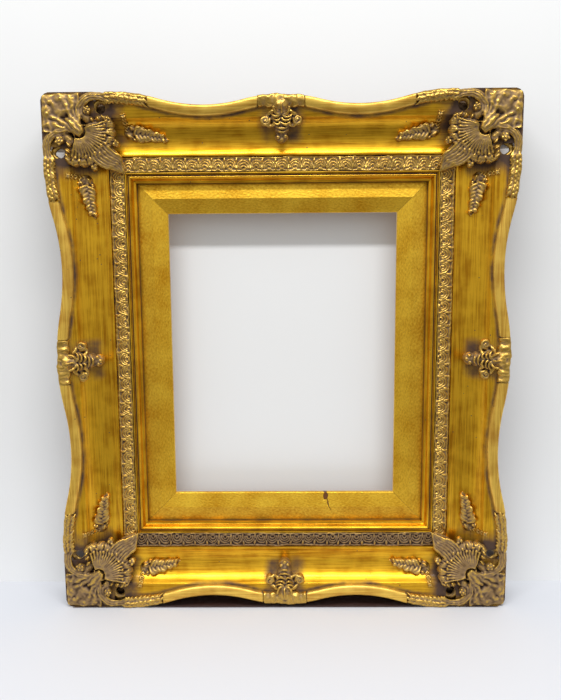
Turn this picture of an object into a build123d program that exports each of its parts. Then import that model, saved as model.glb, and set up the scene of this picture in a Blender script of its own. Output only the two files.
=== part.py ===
from build123d import *
import os
from math import cos, radians, sin

# Picture and liner, in millimetres. The picture is the common 8 x 10 inch size.
picture_width = 203.2
picture_height = 254.0
picture_lap = 6.35           # the liner's sight lip covers this much of the picture's edge
picture_rabbet_depth = 6.0
sight_lip = 4.0              # liner thickness at its sight edge
liner_visible = 24.6         # liner face between its sight edge and the frame's inner edge
liner_lap = 5.5              # liner flange hidden behind the frame's inner edge
liner_fit = 0.5              # gap between the liner's edge and the frame's rabbet wall
liner_recess = 4.0           # the liner's back lies this far inside the frame's back
liner_edge = 11.0            # thickness of the hidden flange
ridge_from_sight = 12.2
ridge_rise = 3.0             # ridge of the liner above its sight edge

# Widths across the frame's moulding, from the outer line inward.
rim_width = 8.6
dip_depth = 10.3             # deepest point of the scalloped edge
shoulder_margin = 0.5
cove_rise_width = 19.5
cove_fall_width = 8.0
lip_width = 1.5
channel_width = 12.5
fillet_width = 1.2
quirk_width = 0.8
bead_width = 4.4
bead_crest = 2.0             # the bead's highest line from its outer side
sight_fillet_width = 1.8

# Heights of the moulding, from the frame's back forward.
edge_height = 39.5
shoulder_height = 35.5
cove_low = 24.2
lip_height = 26.0
channel_depth = 2.5
fillet_drop = 1.0            # inner fillet below the lip
quirk_drop = 2.5             # quirk below the inner fillet
bead_rise = 1.7              # bead above the quirk
sight_wall = 5.0             # frame's inner edge in front of the liner flange

# Scalloped outer edge in plan.
corner_radius = 6.5
lobe_length = 54.0           # straight stretch beside each corner
crown_depth = 3.0            # centre lobe behind the outer line
dip_short = 61.0             # dip from the centre of the top and bottom rails
dip_long = 76.0              # dip from the centre of the side rails

# Rim bead and castings.
rim_height = 4.0
rim_round = 1.8
arm_length = 84.0            # leaf arm of a corner casting, from the outer corner
arm_height = 5.0
ground_height = 3.0          # thin ground of the castings
crown_half = 18.5            # half length of the cartouche's rim section
crown_height = 5.5
ornament_front = 50.0        # foremost point, on the shell's boss

# Corner casting: shell, boss, corner leaf and pierced scrolls.
shell_place = 28.5           # boss centre from both outer lines
shell_tilt = 20.0
shell_top = 45.0             # shell's upper plane at the boss
shell_radius = 27.0
shell_rib_count = 9
shell_spread = 128.0         # angle between the outer ribs
shell_lobe_radius = 4.4
rib_start = 4.0
rib_root_radius = 1.0
rib_end_radius = 2.8
boss_radius = 6.5
tip_start = 20.0             # leaf at the shell's inner corner
tip_length = 27.0
tip_width = 13.0
corner_leaf_square = 30.0
flute_count = 5
flute_spread = 88.0
flute_length = 25.0
flute_root_radius = 1.6
flute_end_radius = 3.4
flute_height = 43.0
scroll_along = 46.0
scroll_in = 12.5
scroll_radius = 8.2
scroll_wire = 2.6
scroll_turn = 290.0
scroll_start = 120.0         # where the left scroll's wire begins, from the rail's length
scroll_height = 42.0
scroll_ground_radius = 12.0
pierced_diameter = 6.5
notch_width = 9.0            # rail cut back behind each pierced scroll
notch_depth = 16.5

# Centre cartouche, laid on a plane that tilts down into the cove.
cartouche_tilt = 25.0
cartouche_top = 45.5         # upper plane above the rim
cartouche_start = 9.0        # upper plane's origin from the outer line
volute_apart = 27.0
volute_along = 15.0
volute_radius = 4.6
volute_rise = 1.6
eye_margin = 1.0             # raised eyes inside the volutes and the bud
basket_width = 12.5
basket_length = 20.0
basket_round = 4.0
bud_radius = 5.5
bud_overlap = 1.5            # the bud grows out of the basket
crown_leaf_length = 13.0
crown_leaf_width = 5.0
crown_leaf_fan = 38.0

# Leaf spray in the cove beside a corner.
spray_start = 64.0           # root of the spray from the outer corner
spray_from_edge = 31.0
spray_turn = 9.0             # the spray points this much inward
spray_length = 36.0
spray_spine_width = 7.0
spray_pairs = 4
spray_leaf_length = 12.0
spray_leaf_width = 5.2
spray_leaf_fan = 38.0
spray_leaf_step = 6.8
spray_height = 2.4
spray_spine_height = 4.2

# Steel V-nails across the mitres, and points that hold the liner.
v_nail_leg = 7.0
v_nail_gauge = 0.8
v_nail_height = 12.0
v_nail_outer = 22.0          # apexes from both outer lines
v_nail_inner = 46.0
liner_v_nail_in = 9.0        # apex from the liner's outer edges
liner_v_nail_height = 7.0
point_width = 10.0
point_gauge = 0.8
point_bite = 7.0             # length driven into the frame's rabbet wall
point_reach = 6.0            # length that holds the liner's back
point_short = 55.0           # places from the rails' centres
point_long = 75.0

# Turn buttons on the liner's back.
button_length = 22.0
button_width = 8.0
button_gauge = 1.2
button_play = 0.1
pivot_from_rabbet = 9.0
screw_radius = 1.5
screw_play = 0.05
screw_head_radius = 3.2
screw_head_height = 1.7
screw_head_round = 1.2
screw_bite = 8.0

# Hanging rings on the backs of the side rails.
hanger_height = 290.0        # above the surface that the frame stands on
strap_from_edge = 13.0
strap_length = 32.0
strap_width = 10.0
strap_gauge = 0.9
barrel_wall = 1.0
ring_wire = 1.25             # radius of the ring's wire
ring_play = 0.05
ring_width = 18.0
ring_reach = 14.0
ring_near_round = 3.0
ring_far_round = 7.0
strap_screw_first = 9.0      # screws from the strap's outer end
strap_screw_second = 25.5
hanger_screw_bite = 10.0

# Sizes that follow.
liner_width = liner_visible + liner_lap
shoulder_width = dip_depth + rim_width + shoulder_margin
cove_low_in = shoulder_width + cove_rise_width
lip_in = cove_low_in + cove_fall_width
channel_in = lip_in + lip_width
fillet_in = channel_in + channel_width
quirk_in = fillet_in + fillet_width
bead_in = quirk_in + quirk_width
bead_end = bead_in + bead_width
moulding_width = bead_end + sight_fillet_width
rabbet_in = moulding_width - liner_lap - liner_fit
channel_floor = lip_height - channel_depth
fillet_height = lip_height - fillet_drop
quirk_height = fillet_height - quirk_drop
seat = liner_recess + liner_edge
sight_edge_height = seat + sight_wall
border = moulding_width + liner_visible - picture_lap
frame_width = picture_width + 2 * border
frame_height = picture_height + 2 * border
half_short = frame_width / 2
half_long = frame_height / 2
ring_axis_back = barrel_wall + ring_wire + ring_play
back_y = (ornament_front - 2 * ring_axis_back) / 2
sky = 2 * ornament_front     # height beyond every casting
bud_along = basket_length + bud_radius - bud_overlap

# Rail frames: x along the rail, y inward from the outer line, z forward from the frame's back.
section_plane = Plane((0, 0, 0), x_dir=(0, 1, 0), z_dir=(1, 0, 0))
front = (0, -1, 0)
top_plane = Plane((0, back_y, frame_height), (-1, 0, 0), front)
bottom_plane = Plane((0, back_y, 0), (1, 0, 0), front)
left_plane = Plane((-half_short, back_y, half_long), (0, 0, -1), front)
right_plane = Plane((half_short, back_y, half_long), (0, 0, 1), front)
corner_plane = Plane((-half_short, back_y, frame_height), (0, 0, -1), front)
rails = {
    "top": (top_plane, half_short, dip_short, ("left", "right")),
    "bottom": (bottom_plane, half_short, dip_short, ("right", "left")),
    "left": (left_plane, half_long, dip_long, ("lower", "upper")),
    "right": (right_plane, half_long, dip_long, ("upper", "lower")),
}


def s_curve(start, end):
    """Two equal arcs that leave start and reach end along the rail."""
    middle = ((start[0] + end[0]) / 2, (start[1] + end[1]) / 2)
    first = TangentArc(start, middle, tangent=(1, 0))
    second = TangentArc(end, middle, tangent=(-1, 0))
    return [first, second]


def plan(half, dip, inset, depth=moulding_width):
    """Mitred plan of a rail, with its scalloped outer edge moved inward by inset."""
    crown = (0, crown_depth + inset)
    low = (dip, dip_depth + inset)
    lobe = (half - lobe_length, inset)
    edges = s_curve(crown, low) + s_curve(low, lobe)
    if inset < corner_radius:
        round_start = (half - corner_radius, inset)
        edges.append(Line(lobe, round_start))
        turn = CenterArc((half - corner_radius, corner_radius), corner_radius - inset, -90, 45)
        edges.append(turn)
        mitre_start = turn @ 1
    else:
        mitre_start = Vector(half - inset, inset)
        edges.append(Line(lobe, mitre_start))
    edges.append(Line(mitre_start, (half - depth, depth)))
    edges += [mirror(edge, Plane.YZ) for edge in edges]
    edges.append(Line((half - depth, depth), (depth - half, depth)))
    return make_face(edges)


def cover_edges():
    """The moulding's upper surface from its outer line to the channel."""
    low = (cove_low_in, cove_low)
    shoulder = (shoulder_width, shoulder_height)
    lip = (lip_in, lip_height)
    return [
        Line((0, edge_height), shoulder),
        TangentArc(low, shoulder, tangent=(-1, 0)),
        TangentArc(low, lip, tangent=(1, 0)),
    ]


def rail_section():
    """Section of a frame rail: cove, lip, channel, bead and the rabbet for the liner."""
    bead_middle = (bead_in + bead_crest, quirk_height + bead_rise)
    outline = Polyline(
        (lip_in, lip_height),
        (channel_in, lip_height),
        (channel_in, channel_floor),
        (fillet_in, channel_floor),
        (fillet_in, fillet_height),
        (quirk_in, fillet_height),
        (quirk_in, quirk_height),
        (bead_in, quirk_height),
    )
    bead = ThreePointArc((bead_in, quirk_height), bead_middle, (bead_end, sight_edge_height))
    back = Polyline(
        (bead_end, sight_edge_height),
        (moulding_width, sight_edge_height),
        (moulding_width, seat),
        (rabbet_in, seat),
        (rabbet_in, 0),
        (0, 0),
        (0, edge_height),
    )
    return make_face(cover_edges() + outline.edges() + [bead] + back.edges())


def layer(half, thickness):
    """A layer of even height that follows the moulding's upper surface, the channel filled."""
    lower = cover_edges() + [Line((lip_in, lip_height), (moulding_width, lip_height))]
    upper = [Pos(0, thickness) * edge for edge in lower]
    ends = [
        Line((0, edge_height), (0, edge_height + thickness)),
        Line((moulding_width, lip_height), (moulding_width, lip_height + thickness)),
    ]
    return extrude(section_plane * make_face(lower + upper + ends), half, both=True)


def between(first, last):
    """The space between two places along a rail."""
    return Pos((first + last) / 2, 0, 0) * Box(last - first, 4 * moulding_width, 2 * sky)


def leaf(length, width):
    """A pointed leaf in plan, from its root at the origin along x."""
    return make_face([
        ThreePointArc((0, 0), (length / 2, width / 2), (length, 0)),
        ThreePointArc((0, 0), (length / 2, -width / 2), (length, 0)),
    ])


def taper(root, end, root_radius, end_radius):
    """A round taper between two points."""
    root, end = Vector(*root), Vector(*end)
    run = end - root
    length = run.length
    return Plane(root, z_dir=run) * Cone(
        root_radius, end_radius, length, align=(Align.CENTER, Align.CENTER, Align.MIN))


def rim_strip(half, dip, width):
    """The band in plan that follows the scalloped edge."""
    return extrude(plan(half, dip, 0) - plan(half, dip, width), sky)


def rim_bead(half, dip):
    """One length of rim bead, from the cartouche to the corner casting's arm."""
    half_side = between(0, half - corner_radius - rim_width)
    bar = layer(half, rim_height) & rim_strip(half, dip, rim_width) & half_side
    top = bar.faces().sort_by(Axis.Z)[-1]
    long_edges = [edge for edge in top.edges() if abs(edge.tangent_at(0.5).X) > abs(edge.tangent_at(0.5).Y)]
    return fillet(long_edges, rim_round) & between(crown_half, half - arm_length)


def cartouche(half, dip):
    """Centre casting: lobed rim section, two volutes, a basket body, a bud and a crown of three leaves."""
    bed = Plane((0, cartouche_start, cartouche_top)).rotated((-cartouche_tilt, 0, 0))
    basket = Pos(0, basket_length / 2) * RectangleRounded(basket_width, basket_length, basket_round)
    face = basket + Pos(0, bud_along) * Circle(bud_radius)
    for side in (-1, 1):
        face += Pos(side * volute_apart / 2, volute_along) * Circle(volute_radius)
        face += Pos(side * volute_apart / 4, volute_along) * Rectangle(volute_apart / 2, volute_radius)
    for turn in (-crown_leaf_fan, 0, crown_leaf_fan):
        face += Pos(0, bud_along) * Rot(0, 0, 90 + turn) * leaf(crown_leaf_length, crown_leaf_width)
    body = extrude(bed * face, -ornament_front)
    for side in (-1, 1):
        eye = Cylinder(volute_radius - eye_margin, 2 * volute_rise)
        body += bed * Pos(side * volute_apart / 2, volute_along, 0) * eye
    body += bed * Pos(0, bud_along, 0) * Sphere(bud_radius - eye_margin)
    rim = layer(half, crown_height) & rim_strip(half, dip, rim_width) & between(-crown_half, crown_half)
    return rim + (body & layer(crown_half, sky) & extrude(plan(half, dip, 0), sky))


def leaf_spray(half):
    """Cast spray in the cove: pairs of pointed leaflets on a raised spine."""
    root = Pos(half - spray_start, spray_from_edge) * Rot(0, 0, 180 - spray_turn)
    spine = leaf(spray_length, spray_spine_width)
    leaflets = Sketch() + spine
    for pair in range(spray_pairs):
        for side in (-1, 1):
            place = Pos(pair * spray_leaf_step, 0) * Rot(0, 0, side * spray_leaf_fan)
            leaflets += place * leaf(spray_leaf_length, spray_leaf_width)
    low = layer(half, spray_height) & extrude(root * leaflets, sky)
    high = layer(half, spray_spine_height) & extrude(root * spine, sky)
    return low + high


def corner_casting():
    """Corner casting, x down the left rail and y along the top one from the outer corner."""
    to_left = Pos(half_long, 0, 0)
    to_top = Pos(0, half_short, 0) * Rot(0, 0, -90)

    def over_rails(thickness, left_plan, top_plan):
        left = layer(half_long, thickness) & left_plan & between(-half_long, arm_length - half_long)
        top = layer(half_short, thickness) & top_plan & between(half_short - arm_length, half_short)
        return to_left * left + to_top * top

    mitred_left = extrude(plan(half_long, dip_long, 0), sky)
    mitred_top = extrude(plan(half_short, dip_short, 0), sky)
    arms = over_rails(
        arm_height, rim_strip(half_long, dip_long, rim_width), rim_strip(half_short, dip_short, rim_width))
    space = over_rails(sky, mitred_left, mitred_top)

    ground_face = Pos(corner_leaf_square / 2, corner_leaf_square / 2) * Rectangle(
        corner_leaf_square, corner_leaf_square)
    ground_face += Pos(scroll_along, scroll_in) * Circle(scroll_ground_radius)
    ground_face += Pos(scroll_in, scroll_along) * Circle(scroll_ground_radius)
    ground = over_rails(ground_height, mitred_left, mitred_top) & extrude(ground_face, sky)

    diagonal = Vector(1, 1, 0).normalized()
    down = Vector(0, 0, -1)
    slope = diagonal * cos(radians(shell_tilt)) + down * sin(radians(shell_tilt))
    across = Vector(-1, 1, 0).normalized()
    bed = Plane((shell_place, shell_place, shell_top), x_dir=slope, z_dir=slope.cross(across))
    fan = Pos(tip_start, 0) * leaf(tip_length, tip_width)
    step = shell_spread / (shell_rib_count - 1)
    turns = [step * index - shell_spread / 2 for index in range(shell_rib_count)]
    for turn in turns:
        rib_end = (shell_radius * cos(radians(turn)), shell_radius * sin(radians(turn)))
        fan += Pos(*rib_end) * Circle(shell_lobe_radius)
    fan += make_face(Polyline(
        (0, 0),
        *[(shell_radius * cos(radians(turn)), shell_radius * sin(radians(turn))) for turn in turns],
        close=True))
    shell = extrude(bed * fan, -ornament_front)
    for turn in turns:
        heading = Vector(cos(radians(turn)), sin(radians(turn)), 0)
        shell += bed * taper(heading * rib_start, heading * shell_radius, rib_root_radius, rib_end_radius)

    relief = shell + Pos(shell_place, shell_place, ornament_front - boss_radius) * Sphere(boss_radius)
    flute_step = flute_spread / (flute_count - 1)
    to_corner = 225 - flute_spread / 2
    for index in range(flute_count):
        turn = radians(to_corner + flute_step * index)
        end = (shell_place + flute_length * cos(turn), shell_place + flute_length * sin(turn), flute_height)
        relief += taper((shell_place, shell_place, flute_height), end, flute_root_radius, flute_end_radius)
    ring = Torus(scroll_radius, scroll_wire, major_angle=scroll_turn)
    left_scroll = Pos(scroll_along, scroll_in, scroll_height) * Rot(0, 0, scroll_start) * ring
    relief += left_scroll + mirror(left_scroll, Plane(Vector(0, 0, 0), z_dir=across))
    casting = arms + ground + (relief & space)
    for along, inward in ((scroll_along, scroll_in), (scroll_in, scroll_along)):
        casting -= Pos(along, inward, 0) * Cylinder(pierced_diameter / 2, 2 * sky)
    return casting


def v_nail(apex, height):
    """A V-nail in a corner's frame: two legs from an apex on the mitre, driven in from the back."""
    corner = (Align.MIN, Align.MIN, Align.MIN)
    first = Box(v_nail_leg, v_nail_gauge, height, align=corner)
    second = Box(v_nail_gauge, v_nail_leg, height, align=corner)
    return Pos(apex, apex, 0) * (first + second)


def four_corners(solid):
    """The top left corner's solid and its three mirror images."""
    top_left = corner_plane.location * solid
    middle = Plane((0, 0, half_long), z_dir=(0, 0, 1))
    top_right = mirror(top_left, Plane.YZ)
    return {
        "top_left": top_left,
        "top_right": top_right,
        "bottom_left": mirror(top_left, middle),
        "bottom_right": mirror(top_right, middle),
    }


def liner_section():
    """Section of a liner rail, x outward from the sight edge: sight lip, ridge, flange and picture rabbet."""
    front_height = liner_recess + picture_rabbet_depth + sight_lip
    return make_face(Polyline(
        (0, front_height - sight_lip),
        (0, front_height),
        (ridge_from_sight, front_height + ridge_rise),
        (liner_visible, seat),
        (liner_width, seat),
        (liner_width, liner_recess),
        (picture_lap, liner_recess),
        (picture_lap, front_height - sight_lip),
        close=True))


def liner_rail(half):
    """Mitred liner rail in its frame rail's coordinates."""
    outer = moulding_width - liner_lap
    inner = outer + liner_width
    prism = extrude(section_plane * Pos(inner, 0) * mirror(liner_section(), Plane.YZ), half, both=True)
    mitred = make_face(Polyline(
        (outer - half, outer), (half - outer, outer),
        (half - inner, inner), (inner - half, inner), close=True))
    return prism & extrude(mitred, sky)


def ornament_strip(half):
    """Mitred strip of running ornament that fills the channel to the lip."""
    mitred = make_face(Polyline(
        (channel_in - half, channel_in), (half - channel_in, channel_in),
        (half - fillet_in, fillet_in), (fillet_in - half, fillet_in), close=True))
    return Pos(0, 0, channel_floor) * extrude(mitred, channel_depth)


def screw(bite, length_under_head):
    """A round-head screw along z, its head's underside at zero and its shank upward."""
    low = (Align.CENTER, Align.CENTER, Align.MAX)
    high = (Align.CENTER, Align.CENTER, Align.MIN)
    head = Cylinder(screw_head_radius, screw_head_height, align=low)
    head = fillet(head.edges().group_by(Axis.Z)[0], screw_head_round)
    return head + Cylinder(screw_radius, bite + length_under_head, align=high)


def turn_button():
    """Oblong button along x, its pivot hole near one end, its back face at zero."""
    end_round = button_width / 2
    plate = Pos(button_length / 2 - end_round, 0) * SlotOverall(button_length, button_width)
    return extrude(plate - Circle(screw_radius + screw_play), button_gauge)


def hanger_strap():
    """Folded strap with a barrel for the ring, in a side rail's frame with its centre line at zero."""
    barrel_in = strap_from_edge + strap_length
    barrel_radius = ring_axis_back
    outer_end = (Align.CENTER, Align.MIN, Align.MAX)
    plate = Pos(0, strap_from_edge, 0) * Box(strap_width, strap_length, strap_gauge, align=outer_end)
    barrel = Pos(0, barrel_in, -ring_axis_back) * Rot(0, 90, 0) * Cylinder(barrel_radius, strap_width)
    bore = Pos(0, barrel_in, -ring_axis_back) * Rot(0, 90, 0) * Cylinder(ring_wire + ring_play, strap_width)
    strap = plate + barrel - bore
    for place in (strap_screw_first, strap_screw_second):
        strap -= Pos(0, strap_from_edge + place, 0) * Cylinder(screw_radius + screw_play, sky)
    return strap


def hanger_ring():
    """Wire ring lying flat, its straight side in the strap's barrel."""
    barrel_in = strap_from_edge + strap_length
    near, far = barrel_in, barrel_in + ring_reach
    side = ring_width / 2
    path = FilletPolyline(
        (side, near), (side, far), (-side, far), (-side, near), close=True,
        radius=[ring_near_round, ring_far_round, ring_far_round, ring_near_round])
    path = Pos(0, 0, -ring_axis_back) * path
    profile = Plane(path @ 0, z_dir=path % 0) * Circle(ring_wire)
    return sweep(profile, path)


# Hardware in the rails' frames, then in place.
frame_nails = v_nail(v_nail_outer, v_nail_height) + v_nail(v_nail_inner, v_nail_height)
liner_nail_apex = moulding_width - liner_lap + liner_v_nail_in
liner_nail = Pos(0, 0, liner_recess) * v_nail(liner_nail_apex, liner_v_nail_height)
frame_corners = four_corners(frame_nails).values()
liner_corners = four_corners(liner_nail).values()
frame_v_nails = Compound(children=[nail for corner in frame_corners for nail in corner.solids()])
liner_v_nails = Compound(children=[nail for corner in liner_corners for nail in corner.solids()])

liner_inner = moulding_width + liner_visible
pivot_in = liner_inner - picture_lap - pivot_from_rabbet
button_front = liner_recess - button_play
screw_seat = button_front - button_gauge - button_play
hang_along = half_long - hanger_height
point_length = point_bite + liner_fit + point_reach
point_box = Box(point_width, point_length, point_gauge, align=(Align.CENTER, Align.MIN, Align.MAX))

nodes = {}
points = []
button_screws = []
hanger_screws = []
for side, (plane, half, dip, ends) in rails.items():
    place = plane.location
    upright = side in ("left", "right")
    rail = extrude(section_plane * rail_section(), half, both=True) & extrude(plan(half, dip, 0), sky)
    notch = extrude(SlotOverall(2 * notch_depth, notch_width, rotation=90), sky, both=True)
    for along in (scroll_along - half, half - scroll_along):
        rail -= Pos(along, 0, 0) * notch
    spread = point_long if upright else point_short
    side_points = [
        Pos(along, rabbet_in - point_bite, liner_recess) * point_box for along in (-spread, spread)]
    for point in side_points:
        rail -= point
    points += [place * point for point in side_points]

    liner = liner_rail(half)
    pivot_screw = Pos(0, pivot_in, screw_seat) * screw(screw_bite, liner_recess - screw_seat)
    liner -= pivot_screw
    button_screws.append(place * pivot_screw)
    nodes[f"turn_button_{side}"] = place * Pos(0, pivot_in, button_front - button_gauge) * turn_button()

    if upright:
        along = hang_along if side == "left" else -hang_along
        hang = Pos(along, 0, 0)
        nodes[f"hanger_strap_{side}"] = place * hang * hanger_strap()
        nodes[f"hanger_ring_{side}"] = place * hang * hanger_ring()
        for step in (strap_screw_first, strap_screw_second):
            seat_point = Pos(along, strap_from_edge + step, -strap_gauge)
            strap_screw = seat_point * screw(hanger_screw_bite, strap_gauge)
            rail -= strap_screw
            hanger_screws.append(place * strap_screw)

    nodes[f"{side}_rail"] = place * rail - frame_v_nails
    nodes[f"liner_{side}"] = place * liner - liner_v_nails
    nodes[f"{side}_strip"] = place * ornament_strip(half)
    nodes[f"{side}_cartouche"] = place * cartouche(half, dip)
    bead = rim_bead(half, dip)
    spray = leaf_spray(half)
    first, second = ends
    nodes[f"{side}_{first}_rim"] = place * bead
    nodes[f"{side}_{first}_spray"] = place * spray
    nodes[f"{side}_{second}_rim"] = place * mirror(bead, Plane.YZ)
    nodes[f"{side}_{second}_spray"] = place * mirror(spray, Plane.YZ)

for corner, casting in four_corners(corner_casting()).items():
    nodes[f"{corner}_corner"] = casting
nodes["frame_v_nails"] = frame_v_nails
nodes["liner_v_nails"] = liner_v_nails
nodes["framer_points"] = Compound(children=points)
nodes["turn_button_screws"] = Compound(children=button_screws)
nodes["hanger_screws"] = Compound(children=hanger_screws)

os.makedirs("parts", exist_ok=True)
for name, shape in nodes.items():
    export_step(shape, f"parts/{name}.step")
print(len(nodes), "nodes,", round(frame_width, 1), "x", round(frame_height, 1), "mm, back at y", back_y)
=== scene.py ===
from functools import partial
from math import atan2, cos, degrees, exp, pi, radians, sin, sqrt, tan

import bmesh
import bpy
import numpy as np
from mathutils import Matrix, Vector, noise


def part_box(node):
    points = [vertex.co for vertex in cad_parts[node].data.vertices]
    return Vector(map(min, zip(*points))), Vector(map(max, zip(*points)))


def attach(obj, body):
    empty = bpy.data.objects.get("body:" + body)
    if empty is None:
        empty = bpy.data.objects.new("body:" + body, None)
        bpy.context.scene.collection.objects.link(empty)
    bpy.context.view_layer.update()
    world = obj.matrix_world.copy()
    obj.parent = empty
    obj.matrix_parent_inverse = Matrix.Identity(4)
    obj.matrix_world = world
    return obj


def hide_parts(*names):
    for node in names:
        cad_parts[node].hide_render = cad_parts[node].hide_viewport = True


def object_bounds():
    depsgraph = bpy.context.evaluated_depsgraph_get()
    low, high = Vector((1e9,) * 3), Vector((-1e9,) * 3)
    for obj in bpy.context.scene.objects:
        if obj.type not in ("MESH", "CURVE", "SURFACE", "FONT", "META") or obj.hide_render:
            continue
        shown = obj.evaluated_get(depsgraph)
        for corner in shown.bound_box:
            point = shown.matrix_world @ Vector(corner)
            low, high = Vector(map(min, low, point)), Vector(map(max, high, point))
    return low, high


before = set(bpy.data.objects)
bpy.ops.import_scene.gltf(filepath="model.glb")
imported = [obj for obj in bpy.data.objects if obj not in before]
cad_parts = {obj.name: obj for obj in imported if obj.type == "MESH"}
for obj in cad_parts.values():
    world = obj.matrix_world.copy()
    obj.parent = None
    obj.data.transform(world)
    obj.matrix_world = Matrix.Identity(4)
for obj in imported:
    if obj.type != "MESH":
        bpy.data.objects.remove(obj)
cad_low, cad_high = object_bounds()

# Frame rails: four mitred lengths of milled softwood with a cove, a lip, a channel and a bead, gessoed,
# gilded with bronze powder, with painted shade in creases. Their sides are washed brown, their backs bare.
# Sizes are in millimetres: along a rail from its middle, inward from its outer line, forward from its back.
mm = 0.001
half_short = (cad_high.x - cad_low.x) / 2 / mm
half_long = (cad_high.z - cad_low.z) / 2 / mm
half_lengths = {"top": half_short, "bottom": half_short, "left": half_long, "right": half_long}
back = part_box("top_rail")[1].y
forward = (0, -1, 0)
dip_from_centre = {half_short: 61.0, half_long: 76.0}
crown_depth = 3.0
dip_depth = 10.3
lobe_length = 54.0
corner_radius = 6.5
edge_height = 39.5
shoulder = Vector((19.4, 35.5))
cove_low = Vector((38.9, 24.2))
lip_start = Vector((46.9, 26.0))
lip_end = 48.4
channel_floor = 23.5
channel_end = 60.9
fillet_height = 25.0
quirk_start = 62.1
bead_start = Vector((62.9, 22.5))
bead_crest = Vector((64.9, 24.2))
bead_end = Vector((67.3, 20.0))
sight_edge = 69.1
rabbet_seat = 15.0
rabbet_wall = 63.1
arris = 0.35  # rounding of the moulding's sharp edges
rim_width = 8.6  # of the rim bead that lies on the outer edge
gilded_side = 14.0  # the gilding runs this far down the outer wall
scroll_place = Vector((46.0, 12.5))  # pierced scroll, along from the outer corner and inward
notch_half = 4.5
notch_depth = 16.5
mitre_gap = 0.12
station_step = 3.0


def placed(origin, first, second):
    """From a piece's own millimetres to the frame's metres, by its first two ways."""
    turn = Matrix((first, second, forward)).transposed().to_4x4()
    return Matrix.Translation(origin) @ turn @ Matrix.Scale(mm, 4)


def even_steps(start, stop, count):
    """Evenly spaced values from start to stop."""
    return [start + (stop - start) * step / count for step in range(count + 1)]


def ease(start, end, share):
    """A smooth S from one value to another."""
    share = min(max(share, 0.0), 1.0)
    rise = 2 * share**2 if share < 0.5 else 1 - 2 * (1 - share)**2
    return start + (end - start) * rise


def hump(value, centre, width):
    """A bell that is 1 at the centre."""
    return exp(-((value - centre) / width)**2)


def scallop(along, half):
    """Depth of the scalloped outer edge behind the outer line."""
    along = abs(along)
    dip = dip_from_centre[half]
    lobe = half - lobe_length
    if along < dip:
        return ease(crown_depth, dip_depth, along / dip)
    if along < lobe:
        return ease(dip_depth, 0.0, (along - dip) / (lobe - dip))
    past = max(along - (half - corner_radius), 0.0)
    return corner_radius - sqrt(max(corner_radius**2 - past**2, 0.0))


def outer_edge(along, half):
    """Depth of a rail's outer wall: the scallop, and the notches cut behind the pierced scrolls."""
    across = abs(abs(along) - (half - scroll_place.x))
    if across <= notch_half:
        return notch_depth - notch_half + sqrt(notch_half**2 - across**2)
    return scallop(along, half)


def table(inward):
    """Height of the flat ground between the outer edge and the cove's shoulder."""
    return edge_height + (shoulder.y - edge_height) * inward / shoulder.x


def cover(inward):
    """Height of a rail's front: its flat ground, then the cove's two arcs, then the lip."""
    if inward < shoulder.x:
        return table(inward)
    if inward > lip_start.x:
        return lip_start.y
    end = shoulder if inward < cove_low.x else lip_start
    radius = (end - cove_low).length_squared / (2 * (end.y - cove_low.y))
    return cove_low.y + radius - sqrt(radius**2 - (inward - cove_low.x)**2)


def through_points(start, crest, end, count):
    """Points on the curve that passes over a crest between its two ends."""
    handle = 2 * crest - (start + end) / 2
    return [start * (1 - t)**2 + 2 * t * (1 - t) * handle + end * t**2 for t in even_steps(0, 1, count)]


def rounded(points, radius):
    """A closed section with its sharp corners rounded."""
    result = []
    for before, corner, after in zip(points[-1:] + points[:-1], points, points[1:] + points[:1]):
        into, out = before - corner, after - corner
        if into.angle(out) > radians(150):
            result.append(corner)
            continue
        reach = min(radius, 0.4 * into.length, 0.4 * out.length)
        first = corner + into.normalized() * reach
        last = corner + out.normalized() * reach
        middle = corner.lerp(first.lerp(last, 0.5), 0.55)
        result += [first, middle, last]
    return result


def swept(section, stations):
    """A closed section swept along a rail through the stations, with closed ends."""
    bm = bmesh.new()
    caps = [bm.faces.new([bm.verts.new((stations[0], *point)) for point in section])]
    for before, after in zip(stations, stations[1:]):
        made = bmesh.ops.extrude_face_region(bm, geom=caps[-1:])["geom"]
        caps.append(next(item for item in made if isinstance(item, bmesh.types.BMFace)))
        bmesh.ops.translate(bm, verts=caps[-1].verts, vec=(after - before, 0, 0))
    bmesh.ops.delete(bm, geom=caps[1:-1], context="FACES_ONLY")
    bmesh.ops.recalc_face_normals(bm, faces=bm.faces)
    return bm


def cut_mitres(bm, half):
    """Cuts both ends of a length at 45 degrees and closes them."""
    for end in (-1, 1):
        geom = bm.verts[:] + bm.edges[:] + bm.faces[:]
        cut = bmesh.ops.bisect_plane(
            bm, geom=geom, dist=1e-5, plane_co=(end * (half - mitre_gap), 0, 0), plane_no=(end, 1, 0),
            clear_outer=True)
        edges = [item for item in cut["geom_cut"] if isinstance(item, bmesh.types.BMEdge)]
        bmesh.ops.edgeloop_fill(bm, edges=edges)
    bmesh.ops.remove_doubles(bm, verts=bm.verts, dist=1e-4)
    bmesh.ops.recalc_face_normals(bm, faces=bm.faces)


def map_surface(bm):
    """A map in millimetres, along a rail and across its section."""
    layer = bm.loops.layers.uv.new("surface")
    for face in bm.faces:
        for loop in face.loops:
            along, inward, height = loop.vert.co
            loop[layer].uv = (along, inward - height)
    bm.normal_update()


def as_mesh(name, bm):
    """The finished mesh of a model."""
    mesh = bpy.data.meshes.new(name)
    bm.to_mesh(mesh)
    bm.free()
    return mesh


def stand(name, data):
    """A new object in the scene."""
    made = bpy.data.objects.new(name, data)
    bpy.context.scene.collection.objects.link(made)
    return made


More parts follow.
